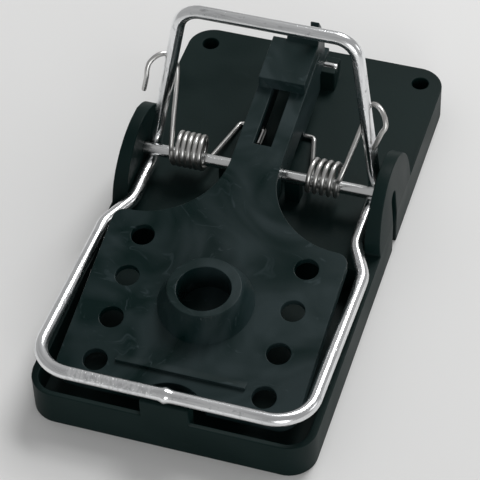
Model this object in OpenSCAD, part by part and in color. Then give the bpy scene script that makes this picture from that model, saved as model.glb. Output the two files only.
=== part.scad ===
// Snap mouse trap with a moulded base, a bent wire striker and a baited treadle.
// Millimetres. The origin is on the floor, at the middle of the base.
// +X is across the trap, +Y is towards the setting end, +Z is up.

/* [Base] */
// Width of the base
base_w = 66; // [64:0.5:76]
// Length of the base
base_l = 124.2; // [122:0.5:132]
// Height of the deck above the floor
deck_z = 9.7; // [8.5:0.1:10.5]
// Thickness of the deck plate
deck_t = 2.2; // [1.6:0.1:3]
// Thickness of the outer side walls
wall_t = 1.8; // [1.4:0.1:2.4]
// Thickness of the front wall
front_wall_t = 1.3; // [1:0.1:1.8]
// Radius of the base's upright corners
corner_r = 6.5; // [4:0.5:9]
// Thickness of the floor in the front tray
tray_floor_t = 2; // [1.4:0.1:2.6]
// How far forward of the axle the deck runs before the tray starts
deck_run = 18.5; // [15:0.5:22]
// Diameter of the two screw holes in the rear deck
screw_d = 4.1; // [3:0.1:5]
// Distance from the sides of the base to the screw holes
screw_side = 5.6; // [5:0.1:8]
// Distance from the rear edge to the screw holes
screw_edge = 5.5; // [5:0.1:7]
// Outer diameter of the bosses round the screw holes
boss_d = 8.4; // [8:0.1:9.5]
// Thickness of the stiffening ribs under the deck
rib_t = 1.4; // [1:0.1:2]
// Distance from the axle back to the first rib, and from it to the second
rib_pitch = 18; // [15:0.5:20]

/* [Ears] */
// Radius of each ear's outline
ear_r = 14; // [13.5:0.1:15]
// Thickness of an ear at the deck
ear_t = 4.05; // [3.6:0.05:4.2]
// How much an ear's outer face leans in towards its top
ear_lean = 1.1; // [0:0.1:1.6]
// Height of the ears' top above the axle
ear_above_axle = 8.75; // [8.4:0.05:10]
// Width of the slot up the outside of each ear
ear_slot_w = 3.3; // [3.1:0.1:4.5]
// Depth of that slot
ear_slot_t = 1.9; // [1:0.1:2.2]

/* [Axle] */
// Diameter of the axle
axle_d = 3; // [2.4:0.1:3.2]
// Distance from the rear edge of the base to the axle
axle_from_rear = 51.6; // [50:0.1:53]
// Height of the axle above the deck
axle_rise = 6.65; // [6.2:0.05:7]
// Width of each axle post beside the tongue
saddle_w = 3.6; // [2.6:0.1:4]
// Gap all round the axle in the pieces that carry it
axle_gap = 0.05; // [0.02:0.01:0.1]

/* [Striker] */
// Diameter of the striker's wire
wire_d = 3.1; // [2.6:0.1:3.2]
// How far the kill arms' outer sides stand in from the sides of the base
kill_inset = 0.1; // [0:0.05:1]
// Distance from the front edge of the base back to the kill bar
kill_from_front = 1.8; // [1.6:0.1:3]
// Angle of the kill arms above level, at the stop
kill_slope = 4.3; // [3:0.1:5]
// Bend radius of the kill bar's corners
kill_bend_r = 8.6; // [6:0.1:11]
// Gap between the ears and the wire where it passes the axle
hub_side_gap = 0.25; // [0.15:0.05:1]
// Distance from the axle forward to where the arms start to spread
spread_start = 12.4; // [11.5:0.1:15]
// Angle at which the arms spread
spread_turn = 26; // [20:1:32]
// Bend radius where the arms spread
spread_bend_r = 8; // [5:0.5:9]
// Height from the axle up to the handle bar
handle_rise = 38.75; // [38.3:0.05:39.5]
// Distance of the handle bar behind the axle
handle_back = 8.5; // [8:0.05:9]
// Angle at which the handle's arms lean in
side_lean = 9.5; // [6:0.5:12]
// Bend radius of the handle's corners
handle_bend_r = 5.6; // [4:0.1:8]
// Gap between the striker's wire and the axle
hub_gap = 0.12; // [0.06:0.01:0.2]
// Angle that the striker turns from the stop to the set position
striker_travel = 66; // [65:0.1:66.4]

/* [Treadle] */
// Gap between the dish's sides and the kill arms
dish_side_gap = 1.7; // [1:0.1:3]
// Slope of the treadle, its front down
treadle_slope = 9.9; // [9:0.1:10.2]
// Height of the treadle's top face above the axle
treadle_rise = 6.53; // [6.4:0.01:7]
// Gap between the dish's front edge and the kill bar
dish_bar_gap = 1.35; // [1.2:0.05:3]
// Distance from the axle forward to the dish's rear edge
neck_l = 22.5; // [21:0.1:24]
// Radius of the dish's front corners
dish_corner_r = 4.6; // [3:0.1:6]
// Thickness of the treadle's plate
plate_t = 1.8; // [1.4:0.1:2.2]
// Depth of the skirt round the dish
skirt_h = 3; // [2.4:0.1:3.4]
// Thickness of that skirt
skirt_t = 1.2; // [1:0.1:1.6]
// Width of the tongue
tongue_w = 12; // [11:0.1:12.2]
// Radius of the dish's rear corners, where the neck's curves start
dish_rear_r = 2.9; // [2:0.1:6]
// Width of the slot in the tongue
slot_w = 4.3; // [3:0.1:5]
// Distance from the axle back to the slot's front end
slot_start = 1.9; // [1:0.1:4]
// Depth of the two side flanges below the tongue's top face, over the axle
flange_h = 10.2; // [9.4:0.1:10.4]
// Depth of the flanges behind the springs' inner legs
flange_deep = 13.2; // [12:0.1:13.4]
// Distance from the axle back to where the flanges get deeper
flange_step = 16; // [15:0.5:17.5]
// How far the flanges stand in from the tongue's edges
flange_inset = 0.3; // [0.2:0.05:0.4]
// Thickness of the side flanges
flange_t = 1.7; // [1.4:0.1:1.8]
// Width of the low ramp across the front of the dish
ramp_w = 30.2; // [20:0.2:36]
// Distance from the dish's front edge back to the ramp
ramp_from_front = 6.5; // [5:0.1:8]
// Length of the ramp, front to rear
ramp_l = 2.9; // [2:0.1:4]
// Height of the ramp's front step
ramp_h = 0.8; // [0.4:0.1:1.2]
// Gap between the treadle and the axle that it rests over
rest_gap = 0.1; // [0.06:0.01:0.2]
// Angle that the treadle's front lifts when the trap is set
treadle_travel = 6; // [3:0.5:6]

/* [Scent holes] */
// Diameter of the holes in the dish
scent_d = 5.5; // [4:0.1:6.5]
// Number of holes along each side
scent_n = 4; // [2:1:4]
// Distance between the holes along each side
scent_pitch = 11.2; // [9:0.1:11.4]
// Distance from the dish's sides to the holes
scent_side = 8.5; // [7:0.1:10]
// Distance from the dish's rear edge to the first holes
scent_first = 5.9; // [5.5:0.1:7]

/* [Bait cup] */
// Distance from the dish's front edge to the cup's centre
cup_from_front = 25.8; // [23:0.1:26.4]
// Outer diameter of the cup's rim
cup_rim_d = 16.8; // [15:0.1:18]
// Bore of the cup
cup_bore_d = 12.4; // [10:0.1:13]
// Diameter of the cup's flared foot
cup_foot_d = 22.2; // [20:0.1:24]
// Height of the rim above the plate
cup_h = 5.8; // [4:0.1:7]
// Angle that the rim is turned back from the slope, to lie nearly level
cup_level = 7; // [4:0.5:8]
// Depth of the cup below the plate's top face
cup_deep = 3.4; // [2.8:0.1:4]
// Thickness of the cup's floor
cup_floor_t = 1.2; // [0.8:0.1:1.6]

/* [Latch] */
// Distance from the axle back to the latch's middle
latch_from_axle = 32.7; // [32.5:0.1:33.1]
// Height of the latch's middle above the deck
latch_rise = 13.6; // [13.5:0.05:13.8]
// Distance from the latch's middle forward to the block's front edge
block_front = 14.8; // [13:0.1:16]
// Distance from the latch's middle forward to the block's rear edge
block_back = 2.2; // [1.8:0.1:2.6]
// Height of the block above the tongue
block_h = 3.1; // [2.6:0.1:3.4]
// Width of the hook that holds the handle bar
hook_w = 7.9; // [4:0.1:9]
// Width of the upright finger at the hook's outer side
finger_w = 2.1; // [1.5:0.1:3]
// Height of the hook's top above the latch's middle
hook_up = 10.3; // [9:0.1:11]
// Height of the finger's tip above the latch's middle
finger_up = 14.5; // [12:0.1:15]
// Height of the hook's catching edge above the set handle bar
catch_gap = 1.7; // [1.6:0.1:2.4]
// Gap between the set handle bar and the shelf under it
shelf_gap = 0.9; // [0.6:0.1:1.2]
// Thickness of that shelf
shelf_t = 1.7; // [1.4:0.1:2.2]
// Distance from the latch's middle back to the shelf's rear edge
shelf_back = 7.1; // [6.5:0.1:7.8]
// Gap between the hook and the handle bar's swing
hook_gap = 0.5; // [0.45:0.05:0.7]

/* [Pivot pin] */
// Diameter of the treadle's pivot pin
pin_d = 2; // [1.6:0.1:2.2]
// Distance from the axle back to the pin
pin_from_axle = 40.6; // [40.2:0.1:41]
// Height of the pin above the deck
pin_rise = 5.2; // [5:0.1:5.6]
// Width of each pin post
post_w = 4.3; // [3.6:0.1:4.6]
// Length of each pin post, front to rear
post_l = 5.9; // [5.2:0.1:6.4]
// Height of each post's top above the pin's middle
post_above = 0.6; // [0.5:0.05:0.7]
// Width of the lug that the pin passes through
lug_w = 5.9; // [5:0.1:6.4]
// Radius of the lug round the pin
lug_r = 2.3; // [2:0.1:2.6]
// Gap between the posts and the tongue or its lug
post_gap = 0.35; // [0.25:0.05:0.6]
// Running gap round the pin
pin_gap = 0.05; // [0.02:0.01:0.1]

/* [Springs] */
// Diameter of the springs' wire
spring_wire_d = 1.2; // [1:0.05:1.25]
// Mean diameter of the coils
coil_d = 7.6; // [7.2:0.1:7.8]
// Whole turns in each coil, before the part turn to its leg
coil_turns = 4; // [3:1:4]
// Distance from one turn to the next
coil_pitch = 1.71; // [1.68:0.01:1.75]
// Distance of the right coil's first turn from the middle
right_coil_x = 11.9; // [11.4:0.1:12.2]
// Distance of the left coil's first turn from the middle
left_coil_x = 13.9; // [13.5:0.1:14.3]
// Height at which the right spring hooks round the striker, above the axle
right_hook_up = 19.6; // [18:0.1:21]
// Height at which the left spring hooks round the striker, above the axle
left_hook_up = 22.6; // [21.5:0.1:24.5]
// How far the right outer leg stands out from its coil's last turn
right_leg_out = 1.2; // [0.2:0.1:1.6]
// How far the left outer leg stands out from its coil's last turn
left_leg_out = 0.2; // [0:0.1:0.6]
// Distance from the middle to the right inner leg, where it turns under the tongue
right_anchor_x = 7.5; // [7.2:0.1:9]
// Distance from the middle to the left inner leg, where it turns under the tongue
left_anchor_x = 11.1; // [9:0.1:12]
// Length of the right outer leg's tail, past its hook
right_tail = 4.5; // [2:0.1:5]
// Length of the left outer leg's tail, past its hook
left_tail = 3.4; // [2:0.1:5]
// How far the right outer leg's tail leans in
right_tail_in = 2.1; // [0:0.1:3]
// How far the left outer leg's tail leans out
left_tail_out = 0.8; // [0:0.1:2]
// Distance from the coils' middle back to the inner legs' turn
anchor_back = 18.8; // [17.5:0.1:19.5]
// Length of the left inner leg's tip, which points forward
left_tip = 5.7; // [3:0.1:6]
// How far the coils sit behind the axle
coil_back = 0.9; // [0.4:0.1:1.2]
// How far the coils sit above the axle
coil_up = 1.2; // [0.8:0.1:1.3]

/* [Hidden] */
$fn = 96;
far = 200;
eps = 0.01;

base_front = -base_l / 2;
base_rear = base_l / 2;
axle_y = base_rear - axle_from_rear;
axle_z = deck_z + axle_rise;
ear_top_z = axle_z + ear_above_axle;
wire_r = wire_d / 2;
axle_r = axle_d / 2;
tray_rear = axle_y - deck_run;
tray_half = base_w / 2 - wall_t;
screw_y = base_rear - screw_edge;
screw_x = base_w / 2 - screw_side;
ear_in = base_w / 2 - ear_t;
ear_y = axle_y + 0.7;
ear_z = ear_top_z - ear_r;
axle_half = base_w / 2 - ear_slot_t - 0.1;

// Striker: kill arms, hub bend round the axle, handle arms.
hub_r = axle_r + wire_r + hub_gap;
kill_y = base_front + kill_from_front;
kill_reach = axle_y - kill_y;
arm_half = base_w / 2 - kill_inset - wire_r;
hub_half = ear_in - hub_side_gap - wire_r;
collar_l = 0.3;
collar_step = 0.04;
slope_bend_r = 14;
side_bend_r = 7;
hub_low_z = axle_z - hub_r;
// Straight run between the two bends of the spread, and the room they all take.
spread_out = arm_half - hub_half;
spread_run = (spread_out - 2 * spread_bend_r * (1 - cos(spread_turn))) / sin(spread_turn);
spread_l = 2 * spread_bend_r * sin(spread_turn) + spread_run * cos(spread_turn);
arm_l = kill_reach - spread_start - spread_l - 1 - slope_bend_r * sin(kill_slope);
kill_run = arm_l / cos(kill_slope) - kill_bend_r;
kill_z = hub_low_z + arm_l * tan(kill_slope) + slope_bend_r * (1 - cos(kill_slope));
handle_y = axle_y + handle_back;
handle_z = axle_z + handle_rise;
handle_span = norm([handle_back, handle_rise]);
// The handle arm leaves the hub bend as a tangent.
handle_lean = atan(handle_back / handle_rise) - asin(hub_r / handle_span);
hub_exit_y = axle_y + hub_r * cos(handle_lean);
hub_exit_z = axle_z - hub_r * sin(handle_lean);
swing_in = handle_span - wire_r - hook_gap;
// The handle bar's height once the striker has been turned back to the set position.
set_z = axle_z + handle_span * sin(atan2(handle_rise, handle_back) - striker_travel);
shelf_z = set_z - wire_r - shelf_gap;
catch_z = set_z + wire_r + catch_gap;
// Straight run of each handle arm, and half of the straight handle bar.
arm_up = sqrt(handle_span * handle_span - hub_r * hub_r);
handle_run = (arm_up - side_bend_r * sin(side_lean)
    - handle_bend_r * (1 - sin(side_lean))) / cos(side_lean);
handle_end = hub_half - side_bend_r * (1 - cos(side_lean))
    - handle_run * sin(side_lean) - handle_bend_r * cos(side_lean);

// Treadle: its outline, the heights on its sloping top face, and lengths along it.
slope_t = tan(treadle_slope);
slope_c = cos(treadle_slope);
latch_y = axle_y + latch_from_axle;
latch_z = deck_z + latch_rise;
pin_y = axle_y + pin_from_axle;
pin_z = deck_z + pin_rise;
pin_post_x = lug_w / 2 + post_gap;
pin_half = pin_post_x + post_w - 0.05;
tongue_half = tongue_w / 2;
dish_half = arm_half - wire_r - dish_side_gap;
dish_front_y = kill_y + wire_r + dish_bar_gap;
dish_rear_y = axle_y - neck_l;
cup_y = dish_front_y + cup_from_front;
cup_well_d = cup_foot_d - 3;
cup_root = plate_t / 2;
neck_r = dish_half - tongue_half - dish_rear_r;
flange_out = tongue_half - flange_inset;
flange_in = flange_out - flange_t;
block_y = latch_y - block_front;
block_rear = latch_y - block_back;
function top_z(y) = axle_z + treadle_rise + (y - axle_y) * slope_t;
function along(y) = y / slope_c;

// Stop post under the kill bar.
post_half = 5.6;
stop_t = 3.8;
stop_z = kill_z - wire_r - 0.1;
stop_notch_r = 9.2;

// Coils.
spring_r = spring_wire_d / 2;
coil_r = coil_d / 2;
coil_y = axle_y + coil_back;
coil_z = axle_z + coil_up;
rings_per_turn = 8;
spring_sides = 6;

// ---------- shared shapes ----------

// Part of a wire ring in the XY plane, from +X towards +Y.
module wire_bend(bend_r, r, turn) {
    rotate_extrude(angle = turn)
        translate([bend_r, 0])
            circle(r = r);
}

// Draws its children on both sides of the middle.
module both_sides() {
    children();
    mirror([1, 0, 0])
        children();
}

// A bar of one outline in the YZ plane, from x0 to x1.
module slab(x0, x1, outline) {
    translate([x0, 0, 0])
        rotate([90, 0, 90])
            linear_extrude(x1 - x0)
                polygon(outline);
}

// A round bar along X through a point of the YZ plane.
module cross_bar(x0, x1, y, z, r) {
    translate([x0, y, z])
        rotate([0, 90, 0])
            cylinder(r = r, h = x1 - x0);
}

// ---------- base ----------

// A flat rectangle with round corners, from front to rear.
module rounded_outline(w, front, rear, front_r, rear_r) {
    difference() {
        translate([-w / 2, front])
            square([w, rear - front]);
        for (sx = [-1, 1], end = [[front, 1, front_r], [rear, -1, rear_r]])
            let (r = end[2])
                translate([sx * w / 2, end[0]])
                    difference() {
                        translate([sx > 0 ? -r : -1, end[1] > 0 ? -1 : -r])
                            square(r + 1);
                        translate([-sx * r, end[1] * r])
                            circle(r = r);
                    }
    }
}

module rounded_plate(w, front, rear, r, h) {
    linear_extrude(h)
        rounded_outline(w, front, rear, r, r);
}

// An ear's side view, with its outer face leaning in.
module ear() {
    intersection() {
        cross_bar(0, base_w, ear_y, ear_z, ear_r);
        rotate([90, 0, 0])
            translate([0, 0, -far / 2])
                linear_extrude(far)
                    polygon([
                        [ear_in, deck_z - eps],
                        [base_w / 2, deck_z - eps],
                        [base_w / 2 - ear_lean, ear_top_z],
                        [ear_in, ear_top_z]
                    ]);
    }
}

// The open slot up the outside of an ear, from the floor to the axle.
module ear_slot() {
    slot_in = base_w / 2 - ear_slot_t;
    translate([slot_in, axle_y - ear_slot_w / 2, -eps])
        cube([far, ear_slot_w, axle_z]);
    cross_bar(slot_in, far, axle_y, axle_z, ear_slot_w / 2);
}

// A post that carries the axle beside the tongue.
module axle_saddle() {
    saddle_x = tongue_half + post_gap;
    translate([saddle_x, axle_y - axle_r, deck_z - eps])
        cube([saddle_w, 2 * axle_r, axle_z - deck_z - axle_r / 2]);
}

// A post that holds one end of the treadle's pin, pressed in from above.
module pin_post() {
    difference() {
        translate([pin_post_x, pin_y - post_l / 2, deck_z - eps])
            cube([post_w, post_l, pin_rise + post_above + eps]);
        cross_bar(pin_post_x - 1, pin_post_x + post_w + 1, pin_y, pin_z, pin_d / 2 + pin_gap);
    }
}

module base_shell() {
    cavity_front = tray_rear + deck_t;
    color("#17181a")
    difference() {
        union() {
            difference() {
                rounded_plate(base_w, base_front, base_rear, corner_r, deck_z);
                // front tray, open above
                translate([0, 0, tray_floor_t])
                    rounded_plate(
                        2 * tray_half, base_front + front_wall_t, tray_rear,
                        corner_r - wall_t, far
                    );
                // hollow under the deck, open below
                difference() {
                    translate([0, 0, -eps])
                        rounded_plate(
                            2 * tray_half, cavity_front, base_rear - wall_t,
                            corner_r - wall_t, deck_z - deck_t
                        );
                    both_sides() {
                        translate([screw_x, screw_y, -1])
                            cylinder(d = boss_d, h = far);
                        translate([ear_in, ear_y - ear_r, -1])
                            cube([ear_t, 2 * ear_r, far]);
                    }
                    for (i = [1, 2])
                        translate([-far / 2, axle_y + i * rib_pitch, -1])
                            cube([far, rib_t, far]);
                }
            }
            both_sides() {
                ear();
                axle_saddle();
                pin_post();
            }
            translate([-post_half, base_front, tray_floor_t - eps])
                cube([2 * post_half, stop_t, stop_z - tray_floor_t]);
        }
        both_sides() {
            ear_slot();
            translate([screw_x, screw_y, -1])
                cylinder(d = screw_d, h = far);
        }
        cross_bar(-axle_half - 0.1, axle_half + 0.1, axle_y, axle_z, axle_r + axle_gap);
    }
}

module axle_rod() {
    color("#b9bcc0")
        cross_bar(-axle_half, axle_half, axle_y, axle_z, axle_r);
}

// ---------- striker ----------

// A bent wire that starts up +Z. Each step is [length], or [radius, turn, side],
// where side is the direction of the bend about the wire, 0 towards +X.
// A hair-thin collar closes each joint between a bend and a straight length.
module wire(steps, i = 0) {
    translate([0, 0, -collar_l / 2])
        cylinder(r = wire_r + collar_step, h = collar_l);
    if (i < len(steps)) {
        s = steps[i];
        if (len(s) == 1) {
            cylinder(r = wire_r, h = s[0]);
            translate([0, 0, s[0]])
                wire(steps, i + 1);
        } else {
            rotate([0, 0, s[2]]) {
                translate([s[0], 0, 0])
                    rotate([90, 0, 180])
                        wire_bend(s[0], wire_r, s[1]);
                translate([s[0] * (1 - cos(s[1])), 0, s[0] * sin(s[1])])
                    rotate([0, s[1], 0])
                        rotate([0, 0, -s[2]])
                            wire(steps, i + 1);
            }
        }
    }
}

// The right half's wires, both from the low point of the bend under the axle.
module striker_half() {
    translate([hub_half, axle_y, hub_low_z]) {
        rotate([90, 0, 0])
            wire([
                [spread_start],
                [spread_bend_r, spread_turn, 0],
                [spread_run],
                [spread_bend_r, spread_turn, 180],
                [1],
                [slope_bend_r, kill_slope, 90],
                [kill_run],
                [kill_bend_r, 90, 180]
            ]);
        rotate([-90, 0, 0])
            wire([
                [hub_r, 90 - handle_lean, -90],
                [side_bend_r, side_lean, 180],
                [handle_run],
                [handle_bend_r, 90 - side_lean, 180]
            ]);
    }
}

module striker_bar() {
    kill_end = arm_half - kill_bend_r;
    color("#c4c7ca") {
        both_sides()
            striker_half();
        cross_bar(-kill_end, kill_end, kill_y, kill_z, wire_r);
        cross_bar(-handle_end, handle_end, handle_y, handle_z, wire_r);
    }
}

// ---------- springs ----------

// Place of the handle arm at a height.
function arm_x(z) = hub_half - tan(side_lean)
    * (z - hub_exit_z - side_bend_r * side_lean / 115) / cos(handle_lean);
function arm_y(z) = hub_exit_y
    + (handle_y - hub_exit_y) * (z - hub_exit_z) / (handle_z - hub_exit_z);
hook_off = wire_r + spring_r + 0.25;

// How far the outer leg leans back, as a tangent from the coil's front to the hook.
function leg_to(hz) = [arm_y(hz) + hook_off - coil_y, hz - 2 - coil_z];
function leg_lean(hz) = atan(leg_to(hz)[0] / leg_to(hz)[1]) + asin(coil_r / norm(leg_to(hz)));

// Points of the coil, from its low inner end to the front of its outer end.
function coil_sweep(hz) = 360 * coil_turns + 90 + leg_lean(hz);
function coil_point(x0, a) = [
    x0 + coil_pitch * a / 360,
    coil_y + coil_r * cos(-90 - a),
    coil_z + coil_r * sin(-90 - a)
];
function coil_points(x0, sweep) =
    let (n = floor(sweep / 360 * rings_per_turn))
        [for (i = [0 : n]) coil_point(x0, sweep * i / n)];

// The inner leg runs down to the deck and turns in under the tongue. A tip length
// above nothing turns its end forward again.
inner_z = deck_z + spring_r + 0.15;
inner_rear = coil_y + anchor_back;
tip_x = tongue_half - 1.2;
function tip_points(tip) = tip == 0
    ? [[tip_x, inner_rear, inner_z]]
    : [
        [tip_x, inner_rear - tip, inner_z],
        [tip_x, inner_rear - 1.5, inner_z],
        [tip_x + 0.5, inner_rear - 0.4, inner_z]
    ];
function inner_leg(x0, leg_x) =
    let (
        low = [leg_x + 0.5, inner_rear - 1.9, inner_z],
        high = [x0 - 0.1, coil_y + 1.6, coil_z - coil_r - 0.15]
    )
        [
            [tip_x + 1.5, inner_rear, inner_z],
            [leg_x - 0.6, inner_rear, inner_z],
            [leg_x + 0.2, inner_rear - 0.7, inner_z],
            low,
            low * 0.67 + high * 0.33,
            low * 0.33 + high * 0.67,
            high
        ];

// The outer leg rises behind the handle arm, hooks round it and runs down again.
function outer_leg(hz, leg_x, tail_in, tail) =
    let (x = arm_x(hz), y = arm_y(hz), z = hz)
        [
            [leg_x, coil_y - coil_r + 2.1, coil_z + 5.2],
            [x - 0.8, y + hook_off - 0.4, z - 4.2],
            [x - 0.2, y + hook_off, z - 1.2],
            [x + 0.8, y + hook_off, z + 0.8],
            [x + 2.2, y + hook_off * 0.72, z + 1.5],
            [x + 3.6, y + 0.5, z + 1.4],
            [x + 4.8, y - 0.9, z + 0.4],
            [x + 5.2, y - 1.9, z - 1.2],
            [x + 5 - tail_in * 0.3, y - 2.6, z - 3],
            [x + 5 - tail_in, y - 3.4, z - 3 - tail]
        ];
function coil_end_x(x0, hz) = x0 + coil_pitch * coil_sweep(hz) / 360;
function spring_path(x0, anchor_x, tip, hz, leg_out, tail_in, tail) = concat(
    tip_points(tip),
    inner_leg(x0, anchor_x),
    coil_points(x0, coil_sweep(hz)),
    outer_leg(hz, coil_end_x(x0, hz) + leg_out, tail_in, tail)
);

// A tube along a path, its rings turned to follow it without twisting.
function unit(v) = v / norm(v);
function path_dir(p, i) = unit(p[min(i + 1, len(p) - 1)] - p[max(i - 1, 0)]);
function carry(n, t) = unit(n - t * (n * t));
function ring_normals(p, i, n) = i == len(p)
    ? []
    : let (m = carry(n, path_dir(p, i))) concat([m], ring_normals(p, i + 1, m));
module tube(p, r, sides) {
    normals = ring_normals(p, 0, [0.1, 0.2, 1]);
    rings = [
        for (i = [0 : len(p) - 1])
            let (t = path_dir(p, i), n = normals[i], b = cross(t, n))
                for (k = [0 : sides - 1])
                    p[i] + r * (n * cos(360 * k / sides) + b * sin(360 * k / sides))
    ];
    last = (len(p) - 1) * sides;
    walls = [
        for (i = [0 : len(p) - 2], k = [0 : sides - 1])
            let (a = i * sides + k, b = i * sides + (k + 1) % sides)
                each [[a, a + sides, b + sides], [a, b + sides, b]]
    ];
    caps = [
        for (k = [1 : sides - 2])
            each [[0, k, k + 1], [last, last + k + 1, last + k]]
    ];
    polyhedron(points = rings, faces = concat(walls, caps), convexity = 10);
}

// Least gap of a path's wire to itself, between points further apart along it.
function self_gap(p, skip) = min([
    for (i = [0 : len(p) - 1], j = [i + skip : 1 : len(p) - 1])
        norm(p[i] - p[j])
]) - spring_wire_d;

right_path = spring_path(
    right_coil_x, right_anchor_x, 0, axle_z + right_hook_up,
    right_leg_out, right_tail_in, right_tail
);
left_path = spring_path(
    left_coil_x, left_anchor_x, left_tip, axle_z + left_hook_up,
    left_leg_out, -left_tail_out, left_tail
);
echo(right_spring_gap = self_gap(right_path, 4), left_spring_gap = self_gap(left_path, 4));

module right_spring() {
    color("#9c9fa3")
        tube(right_path, spring_r, spring_sides);
}

module left_spring() {
    color("#9c9fa3")
        mirror([1, 0, 0])
            tube(left_path, spring_r, spring_sides);
}

// ---------- treadle ----------

// Moves its children onto the treadle's sloping top face, +Y up the slope.
module on_slope() {
    translate([0, 0, top_z(0)])
        rotate([treadle_slope, 0, 0])
            children();
}

// Top view of the dish and the neck, as a flat shape along the slope.
module dish_outline(inset) {
    rounded_outline(
        2 * (dish_half - inset), along(dish_front_y) + inset,
        along(dish_rear_y) - inset, dish_corner_r, dish_rear_r
    );
}

module neck_outline() {
    rear = along(dish_rear_y);
    difference() {
        translate([-tongue_half - neck_r, rear - 1])
            square([tongue_w + 2 * neck_r, neck_r + 1]);
        for (sx = [-1, 1])
            translate([sx * (tongue_half + neck_r), rear + neck_r])
                circle(r = neck_r);
    }
}

// The cup's flared wall, cut off nearly level at its rim.
module cup_cone() {
    flare = (cup_foot_d - cup_rim_d) / cup_h;
    on_slope()
        translate([0, along(cup_y), 0])
            difference() {
                translate([0, 0, -cup_root])
                    cylinder(
                        d1 = cup_foot_d + flare * cup_root,
                        d2 = cup_rim_d - flare * 2, h = cup_h + 2 + cup_root
                    );
                translate([0, 0, cup_h])
                    rotate([-cup_level, 0, 0])
                        translate([-far / 2, -far / 2, 0])
                            cube(far);
            }
}

module dish() {
    notch_y = along(base_front + eps);
    difference() {
        union() {
            on_slope()
                translate([0, 0, -skirt_h])
                    linear_extrude(skirt_h)
                        dish_outline(0);
            on_slope()
                translate([0, 0, -plate_t])
                    linear_extrude(plate_t)
                        neck_outline();
            cup_cone();
        }
        // hollow under the plate, but for the cup
        on_slope()
            difference() {
                translate([0, 0, -skirt_h - eps])
                    linear_extrude(skirt_h - plate_t)
                        dish_outline(skirt_t);
                translate([0, along(cup_y), -far / 2])
                    cylinder(d = cup_well_d - 0.6, h = far);
                translate([0, notch_y, -far / 2])
                    cylinder(r = stop_notch_r + skirt_t, h = far);
            }
        // notch round the stop post
        on_slope()
            translate([0, notch_y, -far / 2])
                cylinder(r = stop_notch_r, h = far);
        on_slope()
            for (sx = [-1, 1], i = [0 : scent_n - 1])
                translate([
                    sx * (dish_half - scent_side),
                    along(dish_rear_y - scent_first - i * scent_pitch), -far / 2
                ])
                    cylinder(d = scent_d, h = far);
    }
    // low ramp across the front of the dish, with a step at its front
    ramp_y = dish_front_y + ramp_from_front;
    on_slope()
        slab(-ramp_w / 2, ramp_w / 2, [
            [along(ramp_y + ramp_l), -0.2],
            [along(ramp_y), -0.2],
            [along(ramp_y), ramp_h]
        ]);
}

// The cup's lower part, which hangs below the plate.
module cup_well() {
    on_slope()
        translate([0, along(cup_y), -cup_deep - cup_floor_t])
            cylinder(d = cup_well_d, h = cup_deep + cup_floor_t - cup_root);
}

module cup_bore() {
    on_slope()
        translate([0, along(cup_y), -cup_deep])
            cylinder(d = cup_bore_d, h = far);
}

// Side view of the tongue's flanges, from the neck to the shelf at the rear.
step_y = axle_y + flange_step;
leg_y = latch_y - 1;
mouth_y = latch_y + 3;
shelf_rear = latch_y + shelf_back;
flange_outline = [
    [axle_y - 9, top_z(axle_y - 9) - plate_t],
    [axle_y - 6, top_z(axle_y - 6) - flange_h + 1],
    [axle_y - 4, top_z(axle_y - 4) - flange_h],
    [step_y, top_z(step_y) - flange_h],
    [step_y + 1, top_z(step_y + 1) - flange_deep],
    [leg_y, top_z(leg_y) - flange_deep],
    [leg_y, shelf_z - shelf_t],
    [shelf_rear, shelf_z - shelf_t],
    [shelf_rear, shelf_z],
    [mouth_y, shelf_z],
    [mouth_y, latch_z + 2],
    [leg_y, top_z(leg_y) - 0.2],
    [0, top_z(0) - 0.2]
];

// Side view of the lug, from the shelf down to the pin.
lug_outline = [
    [leg_y + 1, shelf_z - shelf_t / 2],
    [shelf_rear - 0.3, shelf_z - shelf_t / 2],
    [pin_y + lug_r, pin_z],
    [pin_y - lug_r, pin_z]
];

// Side view of the latch block on the tongue.
block_outline = [
    [block_y, top_z(block_y) - 0.5],
    [block_y, top_z(block_y) + block_h],
    [block_rear, top_z(block_rear) + block_h],
    [block_rear, top_z(block_rear) - 0.5]
];

// Side view of the hook. The handle bar's swing cuts its rear face round.
hook_z = latch_z + hook_up;
hook_outline = [
    [block_rear - 1, latch_z + 1],
    [block_rear - 1, top_z(block_rear - 1) + block_h - 0.3],
    [block_rear + 0.6, hook_z],
    [far, hook_z],
    [far, catch_z],
    [mouth_y, catch_z - 0.6],
    [mouth_y, latch_z + 1]
];
finger_outline = [
    [block_rear - 0.4, hook_z - 2],
    [block_rear, latch_z + finger_up],
    [far, latch_z + finger_up],
    [far, hook_z - 2]
];

module in_front_of_swing() {
    intersection() {
        children();
        cross_bar(-far / 2, far / 2, axle_y, axle_z, swing_in);
    }
}

module tongue() {
    start = along(dish_rear_y) + neck_r - 3;
    // top plate
    on_slope()
        translate([-tongue_half, start, -plate_t])
            cube([tongue_w, along(block_rear) - start, plate_t]);
    slab(flange_in, flange_out, flange_outline);
    slab(-flange_out, -flange_in, flange_outline);
    // shelf under the set handle bar, and the lug that hangs from it
    slab(-flange_out, flange_out, [
        [leg_y, shelf_z - shelf_t],
        [shelf_rear, shelf_z - shelf_t],
        [shelf_rear, shelf_z],
        [leg_y, shelf_z]
    ]);
    slab(-lug_w / 2, lug_w / 2, lug_outline);
    cross_bar(-lug_w / 2, lug_w / 2, pin_y, pin_z, lug_r);
    // latch block
    slab(-flange_out, flange_out, block_outline);
    in_front_of_swing() {
        slab(flange_out - hook_w, flange_out, hook_outline);
        slab(flange_out - finger_w, flange_out, finger_outline);
    }
}

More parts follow.
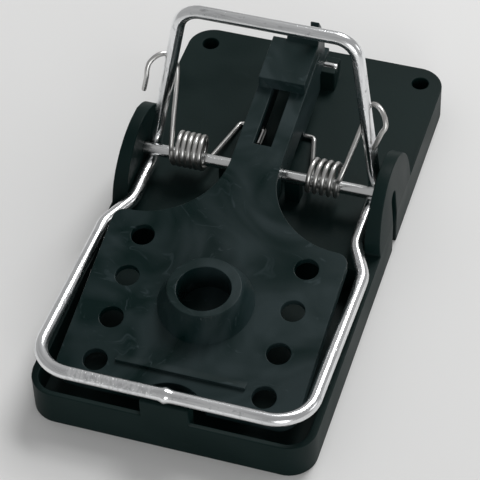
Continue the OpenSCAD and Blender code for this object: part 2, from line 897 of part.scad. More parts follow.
module treadle() {
    // As the treadle lifts, the axle moves back and down in its notch.
    axle_shift = (axle_y - pin_y) * (cos(treadle_travel) - 1)
        - (axle_z - pin_z) * sin(treadle_travel);
    notch_r = axle_r + rest_gap;
    color("#1b1c1e")
    difference() {
        union() {
            dish();
            cup_well();
            tongue();
        }
        cup_bore();
        // slot along the tongue, which ends under the latch block
        on_slope()
            translate([-slot_w / 2, along(axle_y + slot_start), -far / 2])
                cube([slot_w, along(latch_y - 4) - along(axle_y + slot_start), far / 2 + eps]);
        // room for the axle under the neck
        for (shift = [0, axle_shift])
            cross_bar(-far / 2, far / 2, axle_y + shift, axle_z, notch_r);
        translate([-far / 2, axle_y, axle_z])
            cube([far, axle_shift, notch_r]);
        translate([-far / 2, axle_y - notch_r, axle_z - far])
            cube([far, 2 * notch_r + axle_shift, far]);
        cross_bar(-far / 2, far / 2, pin_y, pin_z, pin_d / 2 + pin_gap);
    }
}

module treadle_pin() {
    color("#b9bcc0")
        cross_bar(-pin_half, pin_half, pin_y, pin_z, pin_d / 2);
}

base_shell();
axle_rod();
striker_bar();
left_spring();
right_spring();
treadle();
treadle_pin();
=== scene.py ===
import math

import bmesh
import bpy
from mathutils import Matrix, Vector
from mathutils.bvhtree import BVHTree


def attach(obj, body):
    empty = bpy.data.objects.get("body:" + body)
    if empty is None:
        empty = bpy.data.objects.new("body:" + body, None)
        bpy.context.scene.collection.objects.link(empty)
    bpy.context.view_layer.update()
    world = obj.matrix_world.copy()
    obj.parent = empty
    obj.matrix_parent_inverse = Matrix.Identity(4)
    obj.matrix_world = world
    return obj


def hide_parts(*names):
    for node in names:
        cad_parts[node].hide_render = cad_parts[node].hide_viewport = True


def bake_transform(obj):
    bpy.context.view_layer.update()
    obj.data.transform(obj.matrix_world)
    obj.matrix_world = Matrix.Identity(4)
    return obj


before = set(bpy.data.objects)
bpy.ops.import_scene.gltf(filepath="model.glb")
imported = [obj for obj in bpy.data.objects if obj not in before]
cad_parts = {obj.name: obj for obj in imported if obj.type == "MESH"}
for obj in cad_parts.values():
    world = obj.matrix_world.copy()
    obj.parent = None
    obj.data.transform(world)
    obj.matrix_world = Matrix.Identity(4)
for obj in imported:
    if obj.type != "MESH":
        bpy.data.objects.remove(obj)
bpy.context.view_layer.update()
mm = 0.001

# Camera, lamps and floor are in metres and degrees, and the pieces further on in mm and degrees.

cameraValues = {
    "azimuth": 18.94,
    "elevation": 47.36,
    "roll": -2.25,
    "distance": 0.5409,
    "target": (-0.00292, 0.00216, 0.0),
    "lens": 169.27,
    "sensor": 36,
    "nearest": 0.01,
    "farthest": 20,
}
lampValues = {
    "key": {"from": (0.16, 0.58, 0.8), "distance": 0.9, "size": 0.42, "watts": 4.6},
    "fill": {"from": (0.45, -0.85, 0.25), "distance": 1.0, "size": 0.45, "watts": 2.2},
    "rim": {"from": (0.9, 0.25, 0.35), "distance": 0.9, "size": 0.35, "watts": 0.4},
}
floorValues = {"size": 3.0, "colour": (0.82, 0.82, 0.815), "roughness": 0.9, "sky": 0.36}


def addObject(name, data):
    item = bpy.data.objects.new(name, data)
    bpy.context.scene.collection.objects.link(item)
    return item


def makeCamera(v):
    az, el, roll = (math.radians(v[k]) for k in ("azimuth", "elevation", "roll"))
    back = Vector((math.sin(az) * math.cos(el), -math.cos(az) * math.cos(el), math.sin(el)))
    right = Vector((math.cos(az), math.sin(az), 0))
    up = back.cross(right)
    turnedRight = right * math.cos(roll) + up * math.sin(roll)
    turnedUp = up * math.cos(roll) - right * math.sin(roll)
    data = bpy.data.cameras.new("camera")
    data.lens = v["lens"]
    data.sensor_width = v["sensor"]
    data.clip_start = v["nearest"]
    data.clip_end = v["farthest"]
    camera = addObject("camera", data)
    turn = Matrix((turnedRight, turnedUp, back)).transposed().to_4x4()
    camera.matrix_world = Matrix.Translation(Vector(v["target"]) + back * v["distance"]) @ turn
    bpy.context.scene.camera = camera


def makeLamp(name, v):
    data = bpy.data.lights.new(name, "AREA")
    data.shape = "DISK"
    data.size = v["size"]
    data.energy = v["watts"]
    lamp = addObject(name, data)
    direction = Vector(v["from"]).normalized()
    lamp.location = direction * v["distance"]
    lamp.rotation_mode = "QUATERNION"
    lamp.rotation_quaternion = direction.to_track_quat("Z", "Y")


def makeFloor(v):
    half = v["size"] / 2
    corners = [(-half, -half, 0), (half, -half, 0), (half, half, 0), (-half, half, 0)]
    mesh = bpy.data.meshes.new("floor")
    mesh.from_pydata(corners, [], [(0, 1, 2, 3)])
    material = bpy.data.materials.new("paleFloor")
    material.use_nodes = True
    shader = material.node_tree.nodes["Principled BSDF"]
    shader.inputs["Base Color"].default_value = (*v["colour"], 1)
    shader.inputs["Roughness"].default_value = v["roughness"]
    mesh.materials.append(material)
    addObject("floor", mesh)


def makeSky(v):
    world = bpy.data.worlds.new("studio")
    world.use_nodes = True
    background = world.node_tree.nodes["Background"]
    background.inputs["Color"].default_value = (1, 1, 1, 1)
    background.inputs["Strength"].default_value = v["sky"]
    bpy.context.scene.world = world


makeCamera(cameraValues)
for lampName, lampPlace in lampValues.items():
    makeLamp(lampName, lampPlace)
makeFloor(floorValues)
makeSky(floorValues)
bpy.context.scene.view_settings.view_transform = "Standard"
print("studio ready")

# Small helpers, with which the shader and geometry trees are built.


def addNode(tree, kind, inputs=None, **settings):
    node = tree.nodes.new(kind)
    for key, value in settings.items():
        setattr(node, key, value)
    for key, value in (inputs or {}).items():
        if isinstance(value, bpy.types.NodeSocket):
            tree.links.new(value, node.inputs[key])
        else:
            node.inputs[key].default_value = value
    return node


def doMath(tree, operation, a, b, clamp=False):
    return addNode(tree, "ShaderNodeMath", {0: a, 1: b}, operation=operation, use_clamp=clamp).outputs[0]


def spread(tree, value, low, high, outLow=0.0, outHigh=1.0):
    inputs = {"Value": value, "From Min": low, "From Max": high, "To Min": outLow, "To Max": outHigh}
    return addNode(tree, "ShaderNodeMapRange", inputs, clamp=True).outputs["Result"]


def blendColours(tree, mask, first, second):
    first, second = (c if isinstance(c, bpy.types.NodeSocket) else (*c, 1) for c in (first, second))
    return addNode(tree, "ShaderNodeMix", {0: mask, 6: first, 7: second}, data_type="RGBA").outputs[2]


def addNoise(tree, vector, scale, detail, roughness=0.5, distortion=0.0):
    return addNode(tree, "ShaderNodeTexNoise", {
        "Vector": vector, "Scale": scale, "Detail": detail,
        "Roughness": roughness, "Distortion": distortion,
    }).outputs


def warped(tree, vector, pattern, distance):
    shift = addNode(tree, "ShaderNodeVectorMath", {0: pattern, "Scale": distance}, operation="SCALE")
    inputs = {0: vector, 1: shift.outputs["Vector"]}
    return addNode(tree, "ShaderNodeVectorMath", inputs, operation="ADD").outputs["Vector"]


def newGroup(name, inputs, outputs):
    # an input without a value of its own carries a vector
    group = bpy.data.node_groups.new(name, "ShaderNodeTree")
    for label, value in inputs.items():
        kind = "NodeSocketVector" if value is None else "NodeSocketFloat"
        socket = group.interface.new_socket(name=label, in_out="INPUT", socket_type=kind)
        if value is not None:
            socket.default_value = value
    for label in outputs:
        group.interface.new_socket(name=label, in_out="OUTPUT", socket_type="NodeSocketFloat")
    return group, group.nodes.new("NodeGroupInput").outputs, group.nodes.new("NodeGroupOutput").inputs


# Effects that several materials share. Distances in them are in metres.

flowValues = {
    "scale": 60.0, "swirl": 1.2, "sharpness": 0.2,
    "warp": 0.028,
    "turn": 0.5,  # radians
    "squeeze": 3.2,
    "fineScale": 1.7,  # times the broad swirls' scale
    "streaks": (0.56, 0.74),
}
speckValues = {
    "scale": 260.0, "size": 0.16, "share": 0.04,
    "bendScale": 900.0, "bend": 0.0012,
}
drawValues = {
    "density": 9.0, "stretch": 220.0, "dents": 0.5,
    "dentStretch": 420.0, "dentBand": (0.62, 0.75),
    "dullStretch": 70.0, "dullBand": (0.42, 0.66),
}


def makeFlowMarks(v):
    # cloudy swirls that melted plastic leaves as it fills a mould, from two warped noises
    group, given, out = newGroup(
        "flowMarks",
        {"Vector": None, "Scale": v["scale"], "Swirl": v["swirl"], "Sharpness": v["sharpness"]},
        ["Cloud", "Streak"])
    broad = addNoise(group, given["Vector"], given["Scale"], 2.0, distortion=given["Swirl"])
    squeezed = addNode(group, "ShaderNodeMapping", {
        "Vector": warped(group, given["Vector"], broad["Color"], v["warp"]),
        "Rotation": (0, 0, v["turn"]), "Scale": (1, v["squeeze"], 1),
    })
    fineScale = doMath(group, "MULTIPLY", given["Scale"], v["fineScale"])
    fine = addNoise(group, squeezed.outputs["Vector"], fineScale, 3.0, 0.55, given["Swirl"])
    low = doMath(group, "SUBTRACT", 0.5, given["Sharpness"])
    high = doMath(group, "ADD", 0.5, given["Sharpness"])
    group.links.new(spread(group, broad["Fac"], low, high), out["Cloud"])
    group.links.new(spread(group, fine["Fac"], *v["streaks"]), out["Streak"])
    return group


def makeSpecks(v):
    # sparse pale dots and slivers, such as flash and dust on a moulding
    group, given, out = newGroup(
        "paleSpecks",
        {"Vector": None, "Scale": v["scale"], "Size": v["size"], "Share": v["share"]},
        ["Specks"])
    bent = addNoise(group, given["Vector"], v["bendScale"], 1.0)
    cells = addNode(group, "ShaderNodeTexVoronoi", {
        "Vector": warped(group, given["Vector"], bent["Color"], v["bend"]), "Scale": given["Scale"],
    })
    dot = doMath(group, "LESS_THAN", cells.outputs["Distance"], given["Size"])
    red = addNode(group, "ShaderNodeSeparateColor", {"Color": cells.outputs["Color"]}).outputs["Red"]
    chosen = doMath(group, "LESS_THAN", red, given["Share"])
    group.links.new(doMath(group, "MULTIPLY", dot, chosen), out["Specks"])
    return group


def makeDrawLines(v):
    # fine scratches along a drawn wire, short dents from the bending tools, and dull patches
    group, given, out = newGroup(
        "drawLines",
        {"Density": v["density"], "Stretch": v["stretch"], "Dents": v["dents"]},
        ["Lines", "Marks", "Dull"])
    along = addNode(group, "ShaderNodeAttribute", attribute_name="alongWire").outputs["Fac"]
    around = addNode(group, "ShaderNodeAttribute", attribute_name="roundWire").outputs["Vector"]
    ring = addNode(group, "ShaderNodeSeparateXYZ", {0: around}).outputs

    def placeOnWire(stretch, x, y):
        length = doMath(group, "MULTIPLY", along, stretch)
        return addNode(group, "ShaderNodeCombineXYZ", {0: length, 1: x, 2: y}).outputs[0]

    dense = [doMath(group, "MULTIPLY", ring[i], given["Density"]) for i in (0, 1)]
    lines = addNoise(group, placeOnWire(given["Stretch"], *dense), 1.0, 4.0, 0.65)
    spots = addNoise(group, placeOnWire(v["dentStretch"], ring[0], ring[1]), 1.0, 2.0, 0.6)
    dull = addNoise(group, placeOnWire(v["dullStretch"], ring[0], ring[1]), 1.0, 3.0, 0.6)
    dents = doMath(group, "MULTIPLY", spread(group, spots["Fac"], *v["dentBand"]), given["Dents"])
    group.links.new(lines["Fac"], out["Lines"])
    group.links.new(dents, out["Marks"])
    group.links.new(spread(group, dull["Fac"], *v["dullBand"]), out["Dull"])
    return group


flowMarks = makeFlowMarks(flowValues)
paleSpecks = makeSpecks(speckValues)
drawLines = makeDrawLines(drawValues)
print("shared effects ready")

# Finishes. "shine" is the roughness from its least to its most, and "grain" and "lines" are
# bump heights in metres.

plasticValues = {
    "basePlastic": {
        "dark": (0.0012, 0.0092, 0.0086), "light": (0.012, 0.024, 0.023), "speck": (0.12, 0.12, 0.10),
        "shine": (0.4, 0.55), "gloss": 0.09,
        "flowScale": 34.0, "swirl": 0.8, "sharpness": 0.16, "shift": (0.3, 0.1, 0.2),
        "cloud": 0.5, "streak": 0.4, "specks": 0.012,
        "grain": 0.00002, "grainScale": 1400.0, "speckHeight": 1.5,
    },
    "treadlePlastic": {
        "dark": (0.0018, 0.0108, 0.0102), "light": (0.030, 0.046, 0.050), "speck": (0.16, 0.14, 0.11),
        "shine": (0.27, 0.44), "gloss": 0.12,
        "flowScale": 46.0, "swirl": 1.6, "sharpness": 0.16, "shift": (0.0, 0.0, 0.0),
        "cloud": 0.6, "streak": 1.0, "specks": 0.012,
        "grain": 0.000012, "grainScale": 1400.0, "speckHeight": 1.5,
    },
}
metalValues = {
    "strikerWire": {
        "bright": (0.93, 0.94, 0.95), "dull": (0.50, 0.51, 0.52), "shine": (0.12, 0.34),
        "density": 8.0, "dents": 0.9, "lines": 0.000012,
    },
    "platedSteel": {
        "bright": (0.80, 0.81, 0.81), "dull": (0.55, 0.56, 0.56), "shine": (0.16, 0.34),
        "density": 7.0, "dents": 0.3, "lines": 0.000008,
    },
    "springWire": {
        "bright": (0.62, 0.62, 0.61), "dull": (0.30, 0.29, 0.27), "shine": (0.26, 0.48),
        "density": 5.0, "dents": 0.5, "lines": 0.000008,
    },
}
wearValues = {"dullShare": 0.6, "lineShare": 0.5, "wornShare": 0.5, "band": (0.15, 0.8), "dentDepth": 3.0}


def newMaterial(name):
    material = bpy.data.materials.new(name)
    material.use_nodes = True
    tree = material.node_tree
    return material, tree, tree.nodes["Principled BSDF"].inputs


def addBump(tree, shader, height, distance):
    bump = addNode(tree, "ShaderNodeBump", {"Height": height, "Distance": distance, "Strength": 1.0})
    tree.links.new(bump.outputs["Normal"], shader["Normal"])


def makePlastic(name, v):
    material, tree, shader = newMaterial(name)
    place = addNode(tree, "ShaderNodeTexCoord").outputs["Object"]
    shifted = addNode(tree, "ShaderNodeMapping", {"Vector": place, "Location": v["shift"]})
    vector = shifted.outputs["Vector"]
    flow = addNode(tree, "ShaderNodeGroup", {
        "Vector": vector, "Scale": v["flowScale"], "Swirl": v["swirl"], "Sharpness": v["sharpness"],
    }, node_tree=flowMarks).outputs
    dots = addNode(tree, "ShaderNodeGroup", {"Vector": vector, "Share": v["specks"]}, node_tree=paleSpecks)
    specks = dots.outputs["Specks"]
    cloud = doMath(tree, "MULTIPLY", flow["Cloud"], v["cloud"])
    streak = doMath(tree, "MULTIPLY", flow["Streak"], v["streak"])
    tint = blendColours(tree, doMath(tree, "MAXIMUM", cloud, streak), v["dark"], v["light"])
    tree.links.new(blendColours(tree, specks, tint, v["speck"]), shader["Base Color"])
    tree.links.new(spread(tree, flow["Cloud"], 0.0, 1.0, *v["shine"]), shader["Roughness"])
    shader["Specular IOR Level"].default_value = v["gloss"]
    grain = addNoise(tree, vector, v["grainScale"], 2.0)
    height = doMath(tree, "ADD", grain["Fac"], doMath(tree, "MULTIPLY", specks, v["speckHeight"]))
    addBump(tree, shader, height, v["grain"])
    return material


def makeMetal(name, v, wear):
    material, tree, shader = newMaterial(name)
    inputs = {"Density": v["density"], "Dents": v["dents"]}
    worn = addNode(tree, "ShaderNodeGroup", inputs, node_tree=drawLines).outputs
    dulled = doMath(tree, "MULTIPLY", worn["Dull"], wear["dullShare"])
    mixed = doMath(tree, "ADD", dulled, worn["Marks"], clamp=True)
    tree.links.new(blendColours(tree, mixed, v["bright"], v["dull"]), shader["Base Color"])
    scratched = doMath(tree, "MULTIPLY", worn["Lines"], wear["lineShare"])
    rough = doMath(tree, "ADD", scratched, doMath(tree, "MULTIPLY", mixed, wear["wornShare"]))
    tree.links.new(spread(tree, rough, *wear["band"], *v["shine"]), shader["Roughness"])
    shader["Metallic"].default_value = 1.0
    dents = doMath(tree, "MULTIPLY", worn["Marks"], wear["dentDepth"])
    height = doMath(tree, "SUBTRACT", worn["Lines"], dents)
    addBump(tree, shader, height, v["lines"])
    return material


materials = {name: makePlastic(name, v) for name, v in plasticValues.items()}
materials.update({name: makeMetal(name, v, wearValues) for name, v in metalValues.items()})
print("materials ready:", ", ".join(materials))

# One geometry tree makes every wire and rod: a ring swept along a path.


def makeTubeTree():
    tree = bpy.data.node_groups.new("roundWire", "GeometryNodeTree")
    for label, kind in (("Path", "Geometry"), ("Radius", "Float"), ("Sides", "Int"), ("Finish", "Material")):
        tree.interface.new_socket(name=label, in_out="INPUT", socket_type="NodeSocket" + kind)
    tree.interface.new_socket(name="Wire", in_out="OUTPUT", socket_type="NodeSocketGeometry")
    given = tree.nodes.new("NodeGroupInput").outputs
    length = addNode(tree, "GeometryNodeSplineParameter").outputs["Length"]
    path = addNode(tree, "GeometryNodeStoreNamedAttribute", {
        "Geometry": given["Path"], "Name": "alongWire", "Value": length,
    }, data_type="FLOAT", domain="POINT")
    ring = addNode(tree, "GeometryNodeCurvePrimitiveCircle", {
        "Resolution": given["Sides"], "Radius": given["Radius"],
    }, mode="RADIUS")
    place = addNode(tree, "GeometryNodeInputPosition").outputs[0]
    unit = addNode(tree, "ShaderNodeVectorMath", {0: place}, operation="NORMALIZE")
    profile = addNode(tree, "GeometryNodeStoreNamedAttribute", {
        "Geometry": ring.outputs["Curve"], "Name": "roundWire", "Value": unit.outputs["Vector"],
    }, data_type="FLOAT_VECTOR", domain="POINT")
    tube = addNode(tree, "GeometryNodeCurveToMesh", {
        "Curve": path.outputs["Geometry"], "Profile Curve": profile.outputs["Geometry"],
        "Scale": addNode(tree, "GeometryNodeInputRadius").outputs[0], "Fill Caps": True,
    })
    real = addNode(tree, "GeometryNodeRealizeInstances", {"Geometry": tube.outputs["Mesh"]})
    painted = addNode(tree, "GeometryNodeSetMaterial", {
        "Geometry": real.outputs["Geometry"], "Material": given["Finish"],
    })
    tree.links.new(painted.outputs["Geometry"], tree.nodes.new("NodeGroupOutput").inputs["Wire"])
    return tree


tubeTree = makeTubeTree()
capAngle = 50  # a tube's edges sharper than this stay sharp


def setInput(modifier, label, value):
    for item in modifier.node_group.interface.items_tree:
        if item.item_type == "SOCKET" and item.in_out == "INPUT" and item.name == label:
            modifier[item.identifier] = value


def bakedMesh(maker, name):
    bpy.context.view_layer.update()
    evaluated = maker.evaluated_get(bpy.context.evaluated_depsgraph_get())
    mesh = bpy.data.meshes.new_from_object(evaluated)
    mesh.name = name
    return mesh


def makeTube(name, points, v, finish, swell, closed=False):
    # swell gives each point's share of the radius
    curve = bpy.data.curves.new(name + "Path", "CURVE")
    curve.dimensions = "3D"
    spline = curve.splines.new("POLY")
    spline.points.add(len(points) - 1)
    for point, place, share in zip(spline.points, points, swell):
        point.co = (*(Vector(place) * mm), 1)
        point.radius = share
    spline.use_cyclic_u = closed
    maker = addObject(name + "Path", curve)
    modifier = maker.modifiers.new("roundWire", "NODES")
    modifier.node_group = tubeTree
    setInput(modifier, "Radius", v["radius"] * mm)
    setInput(modifier, "Sides", v["sides"])
    setInput(modifier, "Finish", materials[finish])
    mesh = bakedMesh(maker, name)
    maker.modifiers.remove(modifier)
    bpy.data.objects.remove(maker)
    bpy.data.curves.remove(curve)
    mesh.shade_smooth()
    mesh.set_sharp_from_angle(angle=math.radians(capAngle))
    return addObject(name, mesh)


# The striker is one closed loop of wire: kill bar, spread arms, hubs under the axle, handle.

strikerValues = {
    "radius": 1.55, "sides": 28,
    "bendStep": 5.0,  # degrees from point to point in a bend
    "hubHalf": 27.15, "hubRadius": 3.17, "armHalf": 31.35,
    "killY": -60.3, "killSlope": 4.3, "killBend": 8.6, "slopeBend": 14.0,
    "spreadStart": 12.4, "spreadTurn": 26.0, "spreadBend": 8.0, "spreadEnd": 1.0,
    "handleRise": 38.75, "handleBack": 8.5, "handleBend": 5.6,
    "sideLean": 9.5, "sideBend": 7.0,
    "weldHeight": 0.26,  # share of the radius
    "weldLength": 0.9, "weldPoints": (0, 0.3, 0.6, 1.0, 1.6, 2.4),
}
axleValues = {"y": 10.5, "z": 16.35, "radius": 1.5, "half": 31.0, "sides": 36, "chamfer": 0.35}


def bentPath(start, turn, steps, bendStep):
    # a step is a straight length, or a bend's radius, angle and the side that it turns to
    points = [start.copy()]
    place = start.copy()
    for step in steps:
        if len(step) == 1:
            place = place + turn @ Vector((0, 0, step[0]))
            points.append(place.copy())
            continue
        radius, angle, side = step
        spin = turn @ Matrix.Rotation(math.radians(side), 3, "Z")
        count = max(3, math.ceil(angle / bendStep))
        for i in range(1, count + 1):
            a = math.radians(angle) * i / count
            points.append(place + spin @ Vector((radius * (1 - math.cos(a)), 0, radius * math.sin(a))))
        place = points[-1].copy()
        turned = spin @ Matrix.Rotation(math.radians(angle), 3, "Y")
        turn = turned @ Matrix.Rotation(math.radians(-side), 3, "Z")
    return points


def handleSpan(v):
    # from the axle to the handle bar, and the lean of the arms in radians
    span = math.hypot(v["handleBack"], v["handleRise"])
    lean = math.atan(v["handleBack"] / v["handleRise"]) - math.asin(v["hubRadius"] / span)
    return span, lean


def forwardSteps(v, axle):
    bend, turn, slope = v["spreadBend"], math.radians(v["spreadTurn"]), math.radians(v["killSlope"])
    run = (v["armHalf"] - v["hubHalf"] - 2 * bend * (1 - math.cos(turn))) / math.sin(turn)
    spreadLength = 2 * bend * math.sin(turn) + run * math.cos(turn)
    armLength = (axle["y"] - v["killY"] - v["spreadStart"] - spreadLength - v["spreadEnd"]
                 - v["slopeBend"] * math.sin(slope))
    return [
        [v["spreadStart"]], [bend, v["spreadTurn"], 0], [run], [bend, v["spreadTurn"], 180],
        [v["spreadEnd"]], [v["slopeBend"], v["killSlope"], 90],
        [armLength / math.cos(slope) - v["killBend"]], [v["killBend"], 90, 180],
    ]


def upwardSteps(v):
    span, lean = handleSpan(v)
    side = math.radians(v["sideLean"])
    armUp = math.sqrt(span ** 2 - v["hubRadius"] ** 2)
    bends = v["sideBend"] * math.sin(side) + v["handleBend"] * (1 - math.sin(side))
    return [
        [v["hubRadius"], 90 - math.degrees(lean), -90], [v["sideBend"], v["sideLean"], 180],
        [(armUp - bends) / math.cos(side)], [v["handleBend"], 90 - v["sideLean"], 180],
    ]


def makeStriker(v, axle):
    low = Vector((v["hubHalf"], axle["y"], axle["z"] - v["hubRadius"]))
    towardsFront = Matrix.Rotation(math.radians(90), 3, "X")
    towardsRear = Matrix.Rotation(math.radians(-90), 3, "X")
    forward = bentPath(low, towardsFront, forwardSteps(v, axle), v["bendStep"])
    upward = bentPath(low, towardsRear, upwardSteps(v), v["bendStep"])
    right = forward[::-1] + upward[1:]
    left = [Vector((-p.x, p.y, p.z)) for p in reversed(right)]
    weldXs = [-x for x in reversed(v["weldPoints"][1:])] + list(v["weldPoints"])
    weld = [Vector((x, right[0].y, right[0].z)) for x in weldXs]
    swell = [1 + v["weldHeight"] * math.exp(-(x / v["weldLength"]) ** 2) for x in weldXs]
    swell += [1.0] * (len(right) + len(left))
    piece = makeTube("strikerWire", weld + right + left, v, "strikerWire", swell, closed=True)
    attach(piece, "striker")
    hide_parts("striker_bar")


makeStriker(strikerValues, axleValues)
print("striker ready")

# The axle through the ears, and the small pin under the treadle's tongue.

pinValues = {"y": 51.1, "z": 14.9, "radius": 1.0, "half": 7.55, "sides": 24, "chamfer": 0.25}
rodValues = {"knee": 0.4, "spans": 20}  # the chamfer's middle point, and spans between the ends


def makeRod(name, v, node):
    knee = rodValues["knee"] * v["chamfer"]
    ends = [v["half"], v["half"] - knee, v["half"] - v["chamfer"]]
    shares = [1 - v["chamfer"] / v["radius"], 1 - knee / v["radius"], 1.0]
    middle = [v["half"] * (1 - 2 * i / rodValues["spans"]) for i in range(1, rodValues["spans"])]
    xs = ends + middle + [-x for x in reversed(ends)]
    swell = shares + [1.0] * len(middle) + shares[::-1]
    piece = makeTube(name, [(x, v["y"], v["z"]) for x in xs], v, "platedSteel", swell)
    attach(piece, "base")
    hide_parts(node)


makeRod("axle", axleValues, "axle_rod")
makeRod("pivotPin", pinValues, "treadle_pin")
print("axle and pin ready")

# Each spring is one wire: its foot on the deck, the inner leg, the coil, the outer leg up to
# the handle's arm, and a hook round the arm. "foot" and "heel" are points across and back from
# the foot's two corners. A row of "hook" is how far across, which share of the distance that
# the two wires keep, how far back and how far up, all from the arm's middle.

springValues = {
    "radius": 0.6, "sides": 16, "smooth": 6,
    "coilRadius": 3.8, "stepsPerTurn": 32, "coilBack": 0.9, "coilUp": 1.2,
    "deckZ": 9.7, "deckGap": 0.15, "footBack": 18.8, "tipX": 4.8,
    "foot": ((0.0, -1.5), (0.5, -0.4), (1.5, 0.0)),
    "heel": ((-0.6, 0.0), (0.2, -0.7), (0.5, -1.9)),
    "legTop": (-0.1, 1.6, -0.15),
    "outerStart": (2.1, 5.2),
    "armGap": 0.25, "armMeets": 2.0,
    "hook": (
        (-0.8, 1.0, -0.4, -4.2), (-0.2, 1.0, 0.0, -1.2), (0.8, 1.0, 0.0, 0.8), (2.2, 0.72, 0.0, 1.5),
        (3.6, 0.0, 0.5, 1.4), (4.8, 0.0, -0.9, 0.4), (5.2, 0.0, -1.9, -1.2),
    ),
    "tailX": 5.0, "tailZ": -3.0, "tailY": (-2.6, -3.4), "tailStart": 0.3,
    "endSwell": 0.86,  # share of the radius at the cut ends
    "blendTurn": 0.3,  # of a turn beyond the whole turns
    "right": {
        "coilX": 11.9, "turns": 4, "pitch": 1.71, "anchorX": 7.5, "forward": 0.0,
        "hookUp": 19.6, "legOut": 1.2, "tailIn": 2.1, "tail": 4.5,
    },
    "left": {
        "coilX": 13.9, "turns": 5, "pitch": 1.38, "anchorX": 11.1, "forward": 5.7,
        "hookUp": 22.6, "legOut": 0.2, "tailIn": -0.8, "tail": 3.4,
    },
}


def handleArm(v, axle, z):
    # the middle of the striker's handle arm at a height
    lean = handleSpan(v)[1]
    outY = axle["y"] + v["hubRadius"] * math.cos(lean)
    outZ = axle["z"] - v["hubRadius"] * math.sin(lean)
    topY = axle["y"] + v["handleBack"]
    topZ = axle["z"] + v["handleRise"]
    side = math.radians(v["sideLean"])
    x = v["hubHalf"] - math.tan(side) * (z - outZ - v["sideBend"] * side / 2) / math.cos(lean)
    return x, outY + (topY - outY) * (z - outZ) / (topZ - outZ)


def rounded(points, steps):
    # a smooth curve through the points
    out = []
    for i in range(len(points) - 1):
        p0, p1 = points[max(i - 1, 0)], points[i]
        p2, p3 = points[i + 1], points[min(i + 2, len(points) - 1)]
        for k in range(steps):
            t = k / steps
            square = 2 * p0 - 5 * p1 + 4 * p2 - p3
            cube = 3 * p1 - p0 - 3 * p2 + p3
            out.append(0.5 * (2 * p1 + (p2 - p0) * t + square * t * t + cube * t ** 3))
    return out + [points[-1]]


def innerLeg(v, s, coilY, coilZ):
    z = v["deckZ"] + v["radius"] + v["deckGap"]
    rear = coilY + v["footBack"]
    foot = [(v["tipX"], rear, z)]
    if s["forward"]:
        foot = [(v["tipX"], rear - s["forward"], z)]
        foot += [(v["tipX"] + x, rear + y, z) for x, y in v["foot"]]
    heel = [Vector((s["anchorX"] + x, rear + y, z)) for x, y in v["heel"]]
    x, y, up = v["legTop"]
    top = Vector((s["coilX"] + x, coilY + y, coilZ - v["coilRadius"] + up))
    low = heel[-1]
    return [Vector(p) for p in foot] + heel + [low.lerp(top, 0.33), low.lerp(top, 0.67), top]


def outerLeg(v, s, coilY, coilZ, sweep, arm):
    x, y, z = arm
    apart = strikerValues["radius"] + v["radius"] + v["armGap"]
    back, up = v["outerStart"]
    legX = s["coilX"] + s["pitch"] * sweep / 360 + s["legOut"]
    points = [(legX, coilY - v["coilRadius"] + back, coilZ + up)]
    points += [(x + dx, y + share * apart + dy, z + dz) for dx, share, dy, dz in v["hook"]]
    tailX, tailZ = x + v["tailX"], z + v["tailZ"]
    points.append((tailX - s["tailIn"] * v["tailStart"], y + v["tailY"][0], tailZ))
    points.append((tailX - s["tailIn"], y + v["tailY"][1], tailZ - s["tail"]))
    return [Vector(p) for p in points]


def springPath(v, s, axle):
    coilY = axle["y"] + v["coilBack"]
    coilZ = axle["z"] + v["coilUp"]
    hookZ = axle["z"] + s["hookUp"]
    armX, armY = handleArm(strikerValues, axle, hookZ)
    toY = armY + strikerValues["radius"] + v["radius"] + v["armGap"] - coilY
    toZ = hookZ - v["armMeets"] - coilZ
    lean = math.degrees(math.atan(toY / toZ) + math.asin(v["coilRadius"] / math.hypot(toY, toZ)))
    sweep = 360 * s["turns"] + 90 + lean
    count = math.floor(sweep / 360 * v["stepsPerTurn"])
    coil = []
    for i in range(count + 1):
        a = sweep * i / count
        t = math.radians(-90 - a)
        x = s["coilX"] + s["pitch"] * a / 360
        y, z = coilY + v["coilRadius"] * math.cos(t), coilZ + v["coilRadius"] * math.sin(t)
        coil.append(Vector((x, y, z)))
    inner = rounded(innerLeg(v, s, coilY, coilZ) + [coil[0]], v["smooth"])
    outer = rounded([coil[-1]] + outerLeg(v, s, coilY, coilZ, sweep, (armX, armY, hookZ)), v["smooth"])
    return inner[:-1] + coil + outer[1:]


def makeSpring(side, sign, v, axle):
    s = v[side]
    path = springPath(v, s, axle)
    for p in path:
        p.x *= sign
    swell = [v["endSwell"]] + [1.0] * (len(path) - 2) + [v["endSwell"]]
    piece = makeTube(side + "Coil", path, v, "springWire", swell)
    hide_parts(side + "_spring")
    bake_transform(piece)


makeSpring("right", 1, springValues, axleValues)
makeSpring("left", -1, springValues, axleValues)
print("springs ready")

# Base and treadle keep the shape of their nodes, with every outer edge rounded. Where rounding
# would throw a face off the surface, the edge keeps its corner. "edge" and "merge" are in mm,
# "sharpest" and "flat" in degrees, and "stray" and "reach" are times the edge's width.

mouldingValues = {
    "baseMoulding": {
        "node": "base_shell", "body": "base", "slot": "base_plastic",
        "finish": "basePlastic", "edge": 0.28,
    },
    "treadleMoulding": {
        "node": "treadle", "body": "treadle", "slot": "treadle_plastic",
        "finish": "treadlePlastic", "edge": 0.2,
    },
}
roundingValues = {
    "merge": 0.005, "flat": 0.8, "sharpest": 33, "segments": 2,
    "rounds": 6, "stray": 0.6, "reach": 2.2,
}


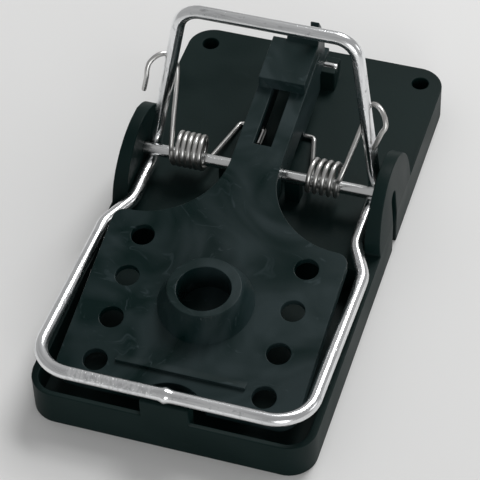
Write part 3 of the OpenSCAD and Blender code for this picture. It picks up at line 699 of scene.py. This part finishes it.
def joinedUp(node, r):
    # the node's loose triangles as whole faces
    work = bmesh.new()
    work.from_mesh(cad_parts[node].data)
    bmesh.ops.remove_doubles(work, verts=work.verts, dist=r["merge"] * mm)
    bmesh.ops.dissolve_degenerate(work, edges=work.edges, dist=r["merge"] * mm)
    flat = math.radians(r["flat"])
    bmesh.ops.dissolve_limit(work, angle_limit=flat, verts=work.verts, edges=work.edges)
    for face in work.faces:
        face.material_index = 0
        face.smooth = True
    return work


def strayPoints(mesh, surface, limit):
    # corners of every rounded face that has left the moulding's own surface
    mesh.calc_loop_triangles()
    stray = []
    for triangle in mesh.loop_triangles:
        a, b, c = (mesh.vertices[i].co for i in triangle.vertices)
        tests = (a, b, c, (a + b) / 2, (b + c) / 2, (c + a) / 2, (a + b + c) / 3)
        if any(surface.find_nearest(p)[3] > limit for p in tests):
            stray += [a.copy(), b.copy(), c.copy()]
    return stray


def leaveSharp(work, weight, stray, reach):
    # edges beside a stray point keep their corner
    for edge in work.edges:
        if not edge[weight]:
            continue
        start = edge.verts[0].co
        along = edge.verts[1].co - start
        span = max(along.length_squared, 1e-12)
        for p in stray:
            share = min(max((p - start).dot(along) / span, 0), 1)
            if (start + along * share - p).length < reach:
                edge[weight] = 0.0
                break


def addEdgeRounding(maker, width, r):
    edges = maker.modifiers.new("edges", "BEVEL")
    edges.width = width
    edges.segments = r["segments"]
    edges.limit_method = "WEIGHT"
    edges.use_clamp_overlap = False
    normals = maker.modifiers.new("normals", "WEIGHTED_NORMAL")
    normals.keep_sharp = True


def makeMoulding(name, v, r):
    mesh = bpy.data.meshes.new(name)
    mesh.materials.append(materials[v["finish"]])
    work = joinedUp(v["node"], r)
    surface = BVHTree.FromBMesh(work)
    weight = work.edges.layers.float.new("bevel_weight_edge")
    sharpest = math.radians(r["sharpest"])
    for edge in work.edges:
        outer = len(edge.link_faces) == 2 and edge.calc_face_angle_signed() > sharpest
        edge[weight] = 1.0 if outer else 0.0
    maker = addObject(name + "Maker", mesh)
    width = v["edge"] * mm
    addEdgeRounding(maker, width, r)
    for attempt in range(r["rounds"]):
        for edge in work.edges:
            level = len(edge.link_faces) == 2 and abs(edge.calc_face_angle_signed()) < sharpest
            edge.smooth = level or edge[weight] > 0
        work.to_mesh(mesh)
        dressed = bakedMesh(maker, name)
        stray = strayPoints(dressed, surface, r["stray"] * width)
        if not stray:
            break
        leaveSharp(work, weight, stray, r["reach"] * width)
    work.free()
    bpy.data.objects.remove(maker)
    piece = addObject(name, dressed)
    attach(piece, v["body"])
    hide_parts(v["node"])
    print(name, len(dressed.polygons), "faces after", attempt + 1, "rounds,", len(stray), "stray")


for mouldingName, mouldingParts in mouldingValues.items():
    makeMoulding(mouldingName, mouldingParts, roundingValues)

print("done")
